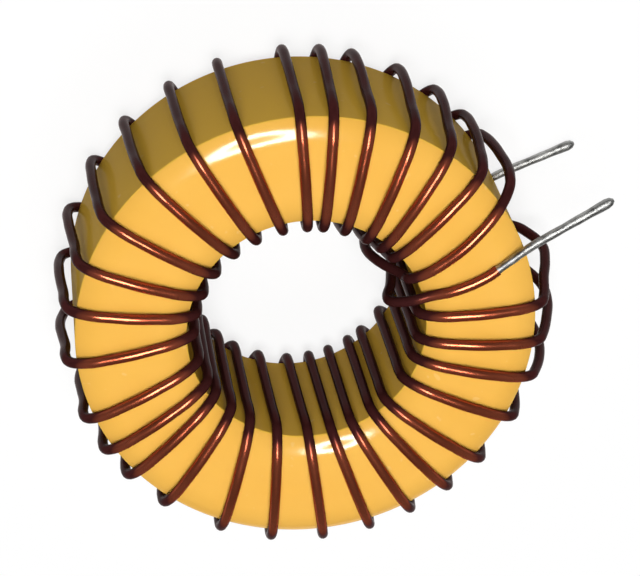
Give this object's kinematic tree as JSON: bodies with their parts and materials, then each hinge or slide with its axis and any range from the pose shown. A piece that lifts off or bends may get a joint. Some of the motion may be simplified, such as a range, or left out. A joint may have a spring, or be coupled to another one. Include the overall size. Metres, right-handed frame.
{
  "type": "toroidal inductor",
  "caption": "Toroidal inductor: a coated powder ring wound with a spaced layer of enamelled wire, whose tinned ends leave side by side.",
  "frame": {"origin": "on the ring's axis, in the plane that the back turns rest on", "axes": "+Z along the ring's axis, out of the front face; +X the way the two leads point"},
  "size_m": [0.0338, 0.0289, 0.012],
  "materials": {
    "core_coat": "glossy yellow epoxy coat",
    "wire_enamel": "clear red-brown enamel over copper",
    "tinned_wire": "dull solder with small lumps"
  },
  "bodies": {
    "root": {"core": "core_coat", "winding": "wire_enamel", "front_lead": "tinned_wire", "rear_lead": "tinned_wire"}
  },
  "joints": []
}
